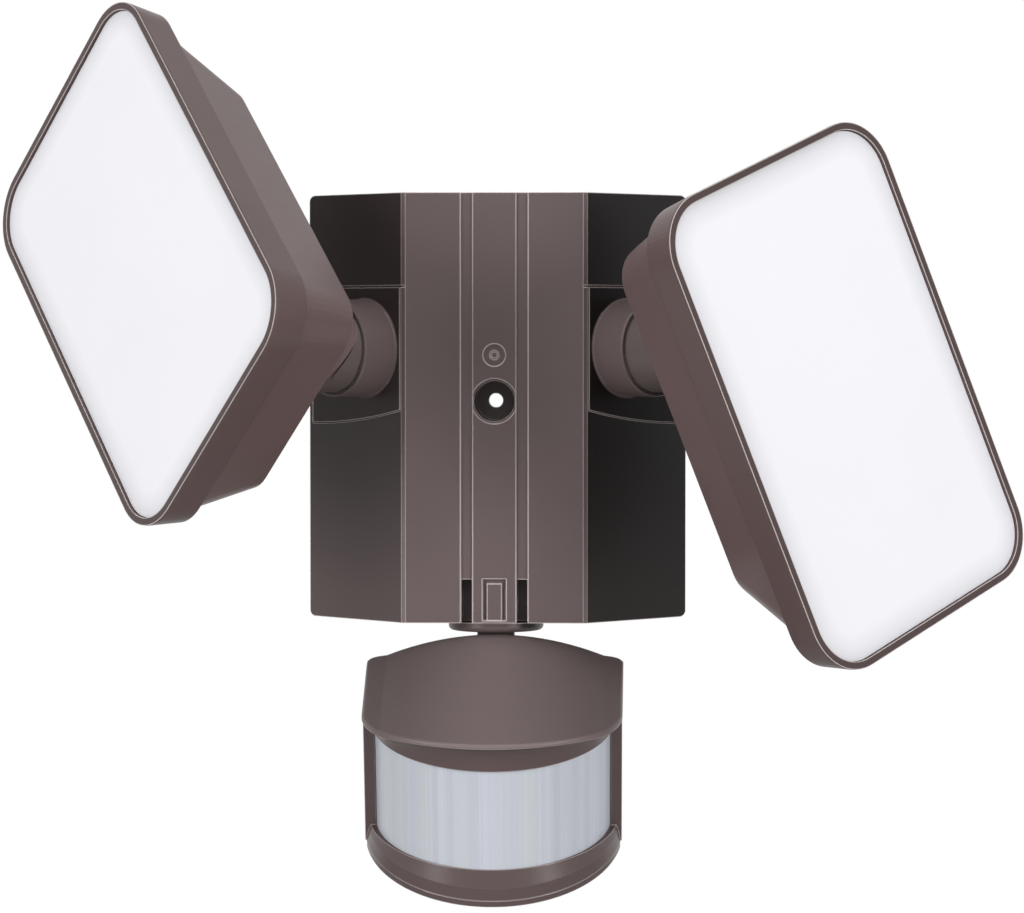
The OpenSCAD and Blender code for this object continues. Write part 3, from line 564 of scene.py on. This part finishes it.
class StudioLooks(bpy.types.PropertyGroup):
    floor: colour_property("Floor", "Colour of the floor", (0.82, 0.82, 0.82))
    floor_drop: FloatProperty(
        name="Floor drop", description="Distance from the light's lowest point down to the floor",
        default=0.14, min=0, max=2, unit="LENGTH",
    )
    fill: FloatProperty(
        name="Fill", description="Strength of the even light all round", default=0.12, min=0, max=3
    )
    key: FloatProperty(
        name="Key", description="Power of each tall front light", default=33.0, min=0, max=1000,
        unit="POWER",
    )
    lens: FloatProperty(
        name="Focal length", description="The camera's focal length", default=138.4, min=20, max=300,
        unit="CAMERA",
    )


# Pieces


class SECURITY_LIGHT_OT_canopy(bpy.types.Operator):
    """Finish the canopy, its arm panels and what is behind it"""

    bl_idname = "security_light.canopy"
    bl_label = "Canopy"

    def execute(self, context):
        looks = context.scene.canopy_looks
        # Each slanted face's direction and the parts of the colour its painted shade keeps, high up
        # and low down
        slant_shades = [
            ((side * math.sqrt(0.5), -math.sqrt(0.5), 0), looks.slant_shades * high, looks.slant_shades * low)
            for side, high, low in ((1, 0.3, 0.65), (-1, 1.25, 2.3))
        ]
        shell = moulded_bronze("bronze_shell", looks.colour, looks.rough, shades=slant_shades)
        coat(["canopy_housing", "sensor_swivel"], shell)
        for name, slant in zip(("right_arm_panel", "left_arm_panel"), slant_shades):
            panel = moulded_bronze(
                name + "_bronze", looks.colour, looks.rough, edge_highlight=0.8, gloss=0.15, shades=[slant]
            )
            coat([name], panel)
        coat(["wall_gasket", "wire_grommet"], foam_rubber("gasket_foam", (0.02, 0.02, 0.02)))
        return {"FINISHED"}


class SECURITY_LIGHT_OT_lamps(bpy.types.Operator):
    """Finish the lamp housings, bezels, covers and arms"""

    bl_idname = "security_light.lamps"
    bl_label = "Lamps"

    def execute(self, context):
        looks = context.scene.lamp_looks
        body = moulded_bronze("bronze_lamp", looks.colour, looks.rough, edge_highlight=0.22)
        coat(both("rear_housing"), body)
        # This name finds the frame's own plain material, because it was there before the finish above
        arm_bronze = bpy.data.materials["bronze_lamp"]
        coat(both("lamp_arm"), arm_bronze)
        for side, name in ((1, "right_"), (-1, "left_")):
            ahead = lamp_face(side)[3]
            # Painted shade on the bezel's face that looks out of the cover, and painted highlights
            # only on its front edges
            frame_finish = moulded_bronze(
                name + "bezel_bronze", lighter(looks.colour, 0.82), looks.rough,
                shades=[(ahead, 0.62, 0.62)], front=ahead,
            )
            coat([name + "bezel"], frame_finish)
            coat([name + "diffuser"], milky_cover(name + "opal_cover", looks.cover, looks.glow, side))
            self.saddle(side, name, arm_bronze)
        coat(both("seal"), foam_rubber("seal_rubber", (0.025, 0.025, 0.025)))
        return {"FINISHED"}

    def saddle(self, side, name, finish):
        """The round end of the arm's hub, hollowed for the lamp's lug that turns in it."""
        along, across = 14, 24
        points, faces = [], []
        for i in range(along + 1):
            x = SADDLE_INNER + SADDLE_WIDTH * math.sin(i / along * math.pi / 2)
            half = math.sqrt(HUB_RADIUS**2 - x * x)
            for j in range(across + 1):
                y = half * math.sin((j / across - 0.5) * math.pi)
                points.append(Vector((x, y, KNUCKLE_REACH - math.sqrt(LUG_SWEEP**2 - y * y))))
                points.append(Vector((x, y, SADDLE_FOOT)))
        row = 2 * (across + 1)
        for i in range(along):
            for j in range(across):
                a = i * row + 2 * j
                faces.append((a, a + 2, a + row + 2, a + row))
                faces.append((a + 1, a + row + 1, a + row + 3, a + 3))
            for a in (i * row, i * row + row - 2):
                faces.append((a, a + row, a + row + 1, a + 1))
        for end in (0, along * row):
            for a in range(end, end + 2 * across, 2):
                faces.append((a, a + 1, a + 3, a + 2))
        name += "arm_saddle"
        piece = made_mesh(name, [arm_point(side, p) for p in points], faces)
        shape = bmesh.new()
        shape.from_mesh(piece.data)
        bmesh.ops.recalc_face_normals(shape, faces=shape.faces)
        shape.to_mesh(piece.data)
        shape.free()
        crease(piece, 40)
        piece.data.materials.append(finish)
        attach(piece, body_of(nodes[name.replace("arm_saddle", "lamp_arm")])[0])


class SECURITY_LIGHT_OT_lamp_boards(bpy.types.Operator):
    """Finish the LED boards and their LEDs"""

    bl_idname = "security_light.lamp_boards"
    bl_label = "LED boards"

    def execute(self, context):
        coat(both("led_board"), circuit_board("board_white", (0.8, 0.8, 0.78), (0.7, 0.68, 0.6)))
        coat(both("leds"), led_resin("led_resin", (0.85, 0.62, 0.1)))
        return {"FINISHED"}


def made_mesh(name, points, faces):
    mesh = bpy.data.meshes.new(name)
    mesh.from_pydata(points, [], faces)
    mesh.validate()
    for face in mesh.polygons:
        face.use_smooth = True
    piece = bpy.data.objects.new(name, mesh)
    bpy.context.scene.collection.objects.link(piece)
    return piece


def crease(piece, degrees):
    """Keep the edges sharp that turn by more than this."""
    creases = piece.modifiers.new("creases", "EDGE_SPLIT")
    creases.split_angle = math.radians(degrees)


def head_point(x, y, z):
    """A point of the sensor head, in millimetres from its tilt pin, as a point of the light."""
    turn = Euler((SENSOR_TILT, 0, SENSOR_PAN)).to_matrix()
    return tuple(TILT_PIN + turn @ Vector((x, y, z)) * MM)


def front_of_hood(x):
    """Distance from the tilt pin forward to the hood's lip, at a place across its width."""
    x = abs(x)
    if x > LIP_CORNER_FROM:
        inside = max(0.0, LIP_CORNER_RADIUS**2 - (x - LIP_CORNER_X) ** 2)
        return LIP_CORNER_Y + math.sqrt(inside)
    return LIP_CENTRE + math.sqrt(LIP_RADIUS**2 - x * x)


def back_of_hood(x):
    """Distance from the tilt pin forward to the hood's back edge, which turns in at its corners."""
    past = max(0.0, abs(x) - BACK_CORNER_FROM)
    return HOOD_BACK + BACK_CORNER - math.sqrt(max(0.0, BACK_CORNER**2 - past * past))


def crown_of_hood(x, ahead):
    """Height of the hood's crowned top, which is rounder at its back than at its lip."""
    x = abs(x)
    t = (ahead - HOOD_BACK) / HOOD_LENGTH
    curve = (1 - t) / CROWN_AT_BACK + t / CROWN_AT_LIP
    roll = BACK_ROLL * max(0.0, 1 - t / BACK_ROLL_PART) ** 2
    inner = min(x, CHEEK_FROM)
    cheek = max(0.0, x - CHEEK_FROM) * (0.05 + 0.1 * (1 - t))
    return HOOD_TOP - HOOD_FALL * t - roll - curve * inner * inner - cheek


def rounded_rim(x, y, near, far):
    """How far the rolled rim has dropped below the crown at a place on the hood."""
    steep = 1 / math.hypot(1, (front_of_hood(abs(x) - 0.5) - front_of_hood(abs(x))) * 2)
    rim = min(HOOD_HALF - abs(x), (far - y) * steep, y - near)
    return RIM_RADIUS - math.sqrt(max(0.0, RIM_RADIUS**2 - max(0.0, RIM_RADIUS - rim) ** 2))


class SECURITY_LIGHT_OT_hood(bpy.types.Operator):
    """Shape the sensor's crowned hood with its lip and the cove above the lens"""

    bl_idname = "security_light.hood"
    bl_label = "Sensor hood"

    def execute(self, context):
        points, faces, loop = self.crown()
        upper = len(faces) + len(loop)
        ring = loop
        for row in range(UNDER_ROWS):
            made = []
            for k in loop:
                made.append(len(points))
                points.append(self.under(points[k], row))
            for k in range(len(loop)):
                n = (k + 1) % len(loop)
                faces.append((ring[k], made[k], made[n], ring[n]))
            ring = made
        faces = [tuple(reversed(face)) for face in faces]
        hood = made_mesh("sensor_crowned_hood", [head_point(*p) for p in points], faces)
        crease(hood, 50)
        for name in ("bronze_hood", "bronze_sensor"):
            hood.data.materials.append(bpy.data.materials[name])
        # Painted light: only the hood's top and lip face take the lighter hood bronze; the faces
        # below keep the shell's bronze
        for face in hood.data.polygons[upper:]:
            face.material_index = 1
        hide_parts("sensor_hood")
        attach(hood, body_of(nodes["sensor_hood"])[0])
        return {"FINISHED"}

    def crown(self):
        """The hood's top as points and faces, with the loop of points round its rim."""
        across = [-x for x in reversed(HOOD_ACROSS[1:])] + list(HOOD_ACROSS)
        points, index = [], {}
        for i, x in enumerate(across):
            far, near = front_of_hood(x), back_of_hood(x)
            for j, t in enumerate(HOOD_ALONG):
                y = near + (far - near) * t
                index[i, j] = len(points)
                wide = 1 + HOOD_FLARE * (1 - t)
                points.append((x * wide, -y, crown_of_hood(x, y) - rounded_rim(x, y, near, far)))
        last, front = len(across) - 1, len(HOOD_ALONG) - 1
        faces = [
            (index[i, j], index[i, j + 1], index[i + 1, j + 1], index[i + 1, j])
            for i in range(last) for j in range(front)
        ]
        loop = [index[i, front] for i in range(last + 1)]
        loop += [index[last, j] for j in range(front - 1, -1, -1)]
        loop += [index[i, 0] for i in range(last - 1, -1, -1)]
        loop += [index[0, j] for j in range(1, front)]
        return points, faces, loop

    def under(self, rim, row):
        """A point below the rim: the lip's face and the cove in front, the straight wall behind."""
        x, y, z = rim
        final = row == UNDER_ROWS - 1
        if y >= -COVE_FROM:
            if final:
                return x * 0.9, y * 0.98, WALL_LOW
            return x, y, z + (WALL_LOW - z) * min(1, (row + 1) / 3)
        if row == 0:
            return x, y, z - LIP_FACE
        away = Vector((x, y + DRUM_FORWARD))
        reach = away.length
        way = away / reach
        if row == 1:
            lip = Vector((x, y)) - way * LIP_FACE
            return lip.x, lip.y, z - LIP_DEPTH
        if final:
            reach, down = COVE_FOOT - 3, COVE_LOW
        else:
            t = min(1.0, (row - 1) / 6) * math.pi / 2
            down = z - LIP_DEPTH + (COVE_LOW - z + LIP_DEPTH) * (1 - math.cos(t)) ** 0.9
            reach = COVE_FOOT + (reach - LIP_FACE - COVE_FOOT) * (1 - math.sin(t)) ** 1.1
        return way.x * reach, way.y * reach - DRUM_FORWARD, down


class SECURITY_LIGHT_OT_sensor(bpy.types.Operator):
    """Finish the sensor head, its lens and its controls"""

    bl_idname = "security_light.sensor"
    bl_label = "Motion sensor"

    def execute(self, context):
        looks = context.scene.sensor_looks
        shell = moulded_bronze("bronze_sensor", looks.shell, looks.rough, edge_highlight=0.4, gloss=0.36)
        # The hood's sides keep only part of its colour as painted shade
        hood = moulded_bronze("bronze_hood", looks.hood, looks.rough + 0.06, edge_highlight=0.4, cheek_shade=0.7)
        coat(["sensor_housing", "sensor_base"], shell)
        coat(["sensor_hood"], hood)
        coat(["sensor_lens"], ribbed_lens("frosted_lens", looks.lens))
        controls = black_plastic("control_black", (0.015, 0.015, 0.015), 0.4)
        coat(["time_dial", "range_dial", "mode_switch"], controls)
        return {"FINISHED"}


class SECURITY_LIGHT_OT_hardware(bpy.types.Operator):
    """Finish the screws, nuts, washers and the back plate"""

    bl_idname = "security_light.hardware"
    bl_label = "Hardware"

    def execute(self, context):
        steel = plated_steel("plated_steel", (0.6, 0.6, 0.62))
        coat(both("arm_washer", "arm_nut", "tilt_screw", "board_screws"), steel)
        coat(["swivel_nut", "sensor_tilt_pin", "sensor_base_screws"], steel)
        coat(["back_plate_screws", "pir_element"], steel)
        coat(["back_plate"], plated_steel("plate_zinc", (0.5, 0.5, 0.52)))
        coat(["driver_parts"], black_plastic("driver_black", (0.02, 0.02, 0.022), 0.45))
        boards = circuit_board("board_green", (0.02, 0.12, 0.045), (0.05, 0.2, 0.07))
        coat(["driver_board", "sensor_board"], boards)
        return {"FINISHED"}


class SECURITY_LIGHT_OT_studio(bpy.types.Operator):
    """Make the floor, the lights and the camera"""

    bl_idname = "security_light.studio"
    bl_label = "Studio"

    def execute(self, context):
        looks = context.scene.studio_looks
        self.floor(looks)
        self.world(looks)
        for name, place, target, width, height, part in LIGHTS:
            self.softbox(name, place, target, width, height, looks.key * part)
        self.camera(looks)
        context.scene.view_settings.view_transform = "Standard"
        return {"FINISHED"}

    def floor(self, looks):
        """Pale floor that the camera sees nearly white and that keeps the light's shadow."""
        low = cad_box[0].z - looks.floor_drop
        corners = [
            (-FLOOR_SIDE, -FLOOR_SIDE, low), (FLOOR_SIDE, -FLOOR_SIDE, low),
            (FLOOR_SIDE, FLOOR_BACK, low), (-FLOOR_SIDE, FLOOR_BACK, low),
        ]
        mesh = bpy.data.meshes.new("studio_floor")
        mesh.from_pydata(corners, [], [(0, 1, 2, 3)])
        floor = bpy.data.objects.new("studio_floor", mesh)
        bpy.context.scene.collection.objects.link(floor)
        tree = Finish("studio_floor")
        cloud = tree.noise(tree.place(), 3.0, 2.0)
        tree.set(Base_Color=tree.mix(cloud, lighter(looks.floor, 0.99), looks.floor), Roughness=0.8)
        white = tree.add("ShaderNodeEmission", {}, {"Color": (1, 1, 1), "Strength": 1.0})
        seen = tree.add("ShaderNodeLightPath", out="Is Camera Ray")
        lit = Value(tree, tree.shader.outputs[0])
        surface = tree.add("ShaderNodeMixShader", {}, {0: seen * 0.8, 1: lit, 2: white})
        tree.put(tree.nodes["Material Output"].inputs["Surface"], surface)
        mesh.materials.append(tree.material)

    def world(self, looks):
        """An even fill that the camera, mirrors and glass see as plain white."""
        world = bpy.data.worlds.new("studio")
        bpy.context.scene.world = world
        tree = Tree(world)
        camera, glossy, through = (
            tree.add("ShaderNodeLightPath", out=ray)
            for ray in ("Is Camera Ray", "Is Glossy Ray", "Is Transmission Ray")
        )
        seen = camera.at_least(glossy).at_least(through)
        background = tree.nodes["Background"]
        tree.put(background.inputs["Color"], (1, 1, 1))
        tree.put(background.inputs["Strength"], seen * (1 - looks.fill) + looks.fill)

    def softbox(self, name, place, target, width, height, power):
        light = bpy.data.lights.new(name, "AREA")
        light.shape = "RECTANGLE"
        light.size = width
        light.size_y = height
        light.energy = power
        made = bpy.data.objects.new(name, light)
        made.location = place
        made.rotation_mode = "QUATERNION"
        made.rotation_quaternion = (Vector(target) - Vector(place)).to_track_quat("-Z", "Y")
        bpy.context.scene.collection.objects.link(made)

    def camera(self, looks):
        camera = bpy.data.objects.new("camera", bpy.data.cameras.new("camera"))
        camera.location = CAMERA_PLACE
        camera.rotation_mode = "QUATERNION"
        camera.rotation_quaternion = (CAMERA_AIM - camera.location).to_track_quat("-Z", "Y")
        camera.data.sensor_width = 36
        camera.data.lens = looks.lens
        camera.data.clip_start = 0.01
        bpy.context.scene.collection.objects.link(camera)
        bpy.context.scene.camera = camera


class SECURITY_LIGHT_PT_panel(bpy.types.Panel):
    bl_label = "Security light"
    bl_space_type = "VIEW_3D"
    bl_region_type = "UI"
    bl_category = "Security light"

    def draw(self, context):
        for name in ("canopy_looks", "lamp_looks", "sensor_looks", "studio_looks"):
            group = getattr(context.scene, name)
            box = self.layout.box()
            for key in group.__annotations__:
                box.prop(group, key)
        for piece in PIECES:
            self.layout.operator(piece.bl_idname)


PIECES = (
    SECURITY_LIGHT_OT_canopy,
    SECURITY_LIGHT_OT_lamps,
    SECURITY_LIGHT_OT_lamp_boards,
    SECURITY_LIGHT_OT_sensor,
    SECURITY_LIGHT_OT_hood,
    SECURITY_LIGHT_OT_hardware,
    SECURITY_LIGHT_OT_studio,
)
GROUPS = {
    "canopy_looks": CanopyLooks,
    "lamp_looks": LampLooks,
    "sensor_looks": SensorLooks,
    "studio_looks": StudioLooks,
}


def register():
    for made in (*GROUPS.values(), *PIECES, SECURITY_LIGHT_PT_panel):
        bpy.utils.register_class(made)
    for name, group in GROUPS.items():
        setattr(bpy.types.Scene, name, PointerProperty(type=group))


def unregister():
    for name in GROUPS:
        delattr(bpy.types.Scene, name)
    for made in reversed((*GROUPS.values(), *PIECES, SECURITY_LIGHT_PT_panel)):
        bpy.utils.unregister_class(made)


def main():
    register()
    for piece in PIECES:
        group, name = piece.bl_idname.split(".")
        getattr(getattr(bpy.ops, group), name)()


if __name__ == "__main__":
    main()
